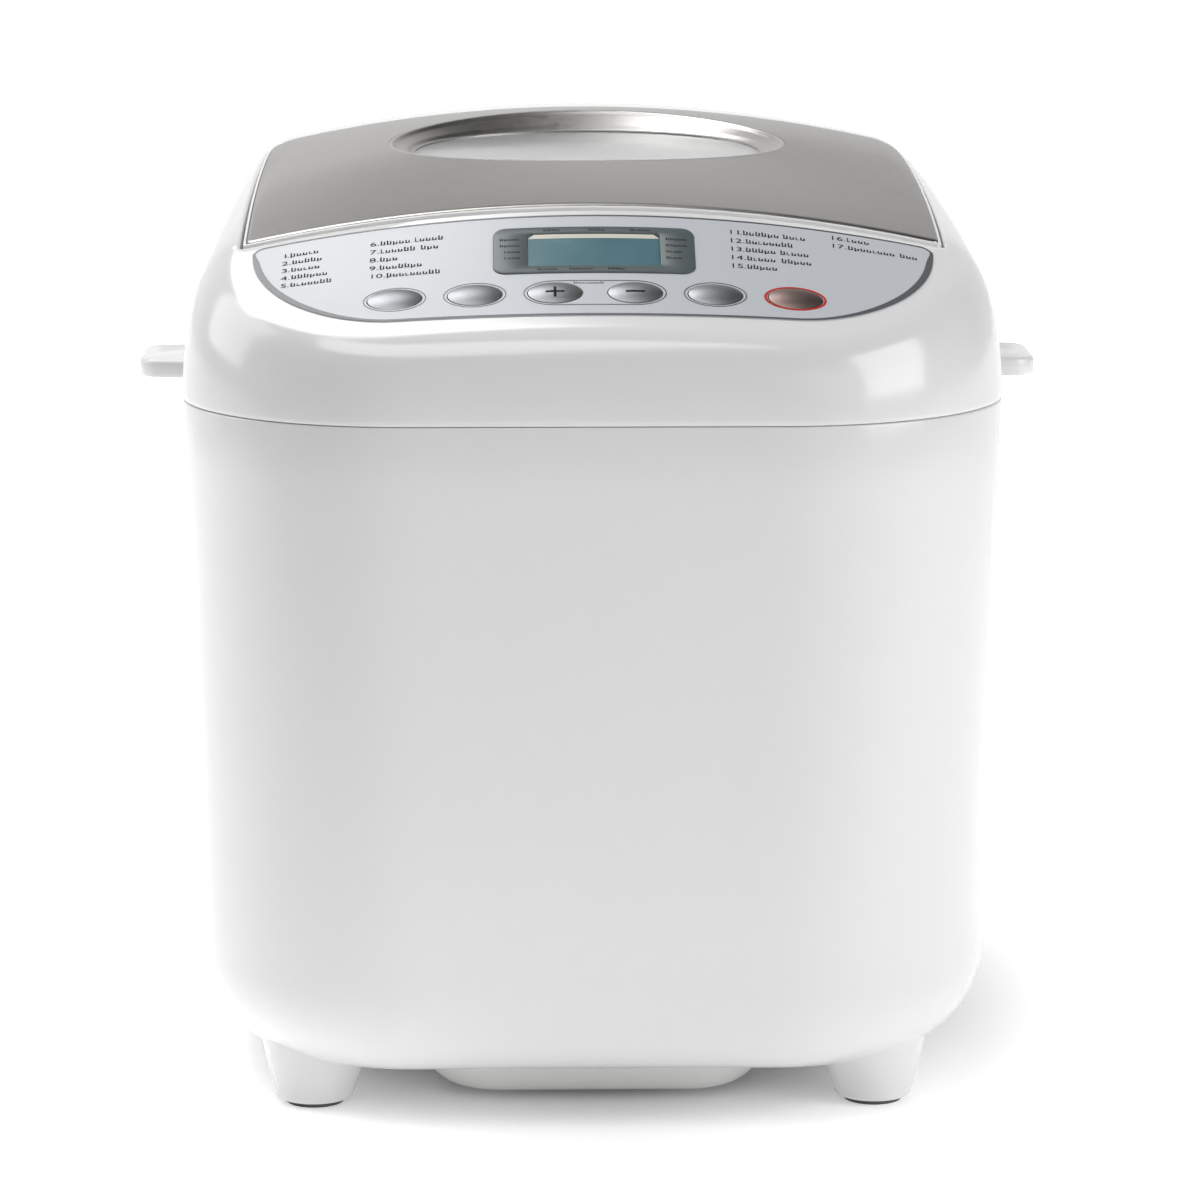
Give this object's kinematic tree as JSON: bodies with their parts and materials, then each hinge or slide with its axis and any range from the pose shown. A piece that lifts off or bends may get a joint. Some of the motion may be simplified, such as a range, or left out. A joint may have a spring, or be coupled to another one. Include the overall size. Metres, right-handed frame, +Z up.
{
  "type": "bread machine",
  "caption": "Bread machine with white body, sloped control panel, hinged lid with oval window, lift-out pan, kneading paddle and belt drive.",
  "frame": {"origin": "centre of the footprint on the plane that the feet stand on", "axes": "+Z up, front with the control panel towards -Y, +X to the right seen from the front"},
  "size_m": [0.289, 0.34, 0.2898],
  "materials": {
    "white_plastic": "gloss",
    "white_upper": "gloss",
    "base_plastic": "satin",
    "foot_rubber": "matte",
    "panel_film": "satin",
    "dark_bezel": "gloss",
    "display": "gloss",
    "black_plastic": "matte",
    "circuit_board": "satin",
    "deck_plastic": "satin",
    "sheet_steel": "satin",
    "spring_steel": "polished",
    "heater_sheath": "satin",
    "ceramic": "matte",
    "brass_parts": "satin",
    "motor_steel": "satin",
    "inlet_plastic": "satin",
    "shaft_steel": "polished",
    "screw_steel": "satin",
    "belt_rubber": "matte",
    "lid_plastic": "gloss",
    "brushed_skin": "brushed",
    "window_steel": "polished",
    "window_glass": "clear",
    "liner_steel": "satin",
    "button_metal": "satin metallic",
    "nonstick_pan": "satin",
    "pan_aluminium": "cast",
    "nonstick_paddle": "satin",
    "pulley_plastic": "satin"
  },
  "bodies": {
    "housing": {"body_shell": "white_plastic", "top_housing": "white_upper", "base_plate": "base_plastic", "belt_cover": "white_plastic", "feet": "white_plastic", "foot_pads": "foot_rubber", "side_grips": "white_plastic", "panel_overlay": "panel_film", "lcd_bezel": "dark_bezel", "lcd_glass": "display", "lcd_module": "black_plastic", "control_board": "circuit_board", "tact_switches": "black_plastic", "inner_deck": "deck_plastic", "oven_chamber": "sheet_steel", "pan_seat": "sheet_steel", "pan_clips": "spring_steel", "heater_element": "heater_sheath", "heater_terminals": "ceramic", "temperature_sensor": "spring_steel", "thermal_fuse": "brass_parts", "chassis_plate": "sheet_steel", "main_bearing": "brass_parts", "motor_can": "motor_steel", "run_capacitor": "black_plastic", "power_board": "circuit_board", "cord_inlet": "inlet_plastic", "hinge_brackets": "spring_steel", "hinge_pins": "shaft_steel", "base_screws": "screw_steel", "deck_screws": "screw_steel", "drive_belt": "belt_rubber"},
    "lid": {"lid_frame": "lid_plastic", "lid_skin": "brushed_skin", "window_bezel": "window_steel", "window_glass": "window_glass", "lid_liner": "liner_steel", "liner_glass": "window_glass", "hinge_arms": "lid_plastic", "lid_screws": "screw_steel"},
    "button_menu": {"button_menu": "button_metal"},
    "button_weight": {"button_weight": "button_metal"},
    "button_plus": {"button_plus": "button_metal"},
    "button_minus": {"button_minus": "button_metal"},
    "button_colour": {"button_colour": "button_metal"},
    "button_start": {"button_start": "button_metal"},
    "pan": {"bread_pan": "nonstick_pan", "pan_base": "pan_aluminium", "shaft_seal": "belt_rubber"},
    "handle": {"pan_handle": "shaft_steel"},
    "pan_spindle": {"pan_shaft": "shaft_steel", "pan_coupler": "pan_aluminium"},
    "paddle": {"kneading_paddle": "nonstick_paddle"},
    "drive": {"main_shaft": "shaft_steel", "large_pulley": "pulley_plastic", "drive_coupler": "pan_aluminium"},
    "motor": {"motor_rotor": "motor_steel", "motor_pulley": "pulley_plastic"}
  },
  "joints": [
    {"name": "lid_hinge", "type": "hinge", "parent": "housing", "child": "lid", "pos_m": [0, 0.142, 0.258], "axis": [-1, 0, 0], "range_deg": [0, 88]},
    {"name": "button_menu_push", "type": "slide", "parent": "housing", "child": "button_menu", "axis": [0, 0.4695, -0.8829], "range_m": [0, 0.001], "stiffness_N_per_m": 600, "springref_m": -0.0006},
    {"name": "button_weight_push", "type": "slide", "parent": "housing", "child": "button_weight", "axis": [0, 0.4695, -0.8829], "range_m": [0, 0.001], "stiffness_N_per_m": 600, "springref_m": -0.0006},
    {"name": "button_plus_push", "type": "slide", "parent": "housing", "child": "button_plus", "axis": [0, 0.4695, -0.8829], "range_m": [0, 0.001], "stiffness_N_per_m": 600, "springref_m": -0.0006},
    {"name": "button_minus_push", "type": "slide", "parent": "housing", "child": "button_minus", "axis": [0, 0.4695, -0.8829], "range_m": [0, 0.001], "stiffness_N_per_m": 600, "springref_m": -0.0006},
    {"name": "button_colour_push", "type": "slide", "parent": "housing", "child": "button_colour", "axis": [0, 0.4695, -0.8829], "range_m": [0, 0.001], "stiffness_N_per_m": 600, "springref_m": -0.0006},
    {"name": "button_start_push", "type": "slide", "parent": "housing", "child": "button_start", "axis": [0, 0.4695, -0.8829], "range_m": [0, 0.001], "stiffness_N_per_m": 600, "springref_m": -0.0006},
    {"name": "drive_spin", "type": "hinge", "parent": "housing", "child": "drive", "pos_m": [0, 0.014, 0], "axis": [0, 0, 1], "continuous": true},
    {"name": "motor_spin", "type": "hinge", "parent": "housing", "child": "motor", "pos_m": [0, -0.126, 0], "axis": [0, 0, 1], "continuous": true},
    {"name": "pan_lift", "type": "slide", "parent": "housing", "child": "pan", "axis": [0, 0, 1], "range_m": [0, 0.012]},
    {"name": "handle_swing", "type": "hinge", "parent": "pan", "child": "handle", "pos_m": [0, 0.014, 0.203], "axis": [0, -1, 0], "range_deg": [0, 30]},
    {"name": "pan_spindle_spin", "type": "hinge", "parent": "pan", "child": "pan_spindle", "pos_m": [0, 0.014, 0], "axis": [0, 0, 1], "continuous": true},
    {"name": "paddle_lift", "type": "slide", "parent": "pan_spindle", "child": "paddle", "axis": [0, 0, 1], "range_m": [0, 0.024]}
  ],
  "couplings": [
    {"joint": "motor_spin", "follows": "drive_spin", "ratio": 5},
    {"joint": "pan_spindle_spin", "follows": "drive_spin", "ratio": 1}
  ]
}
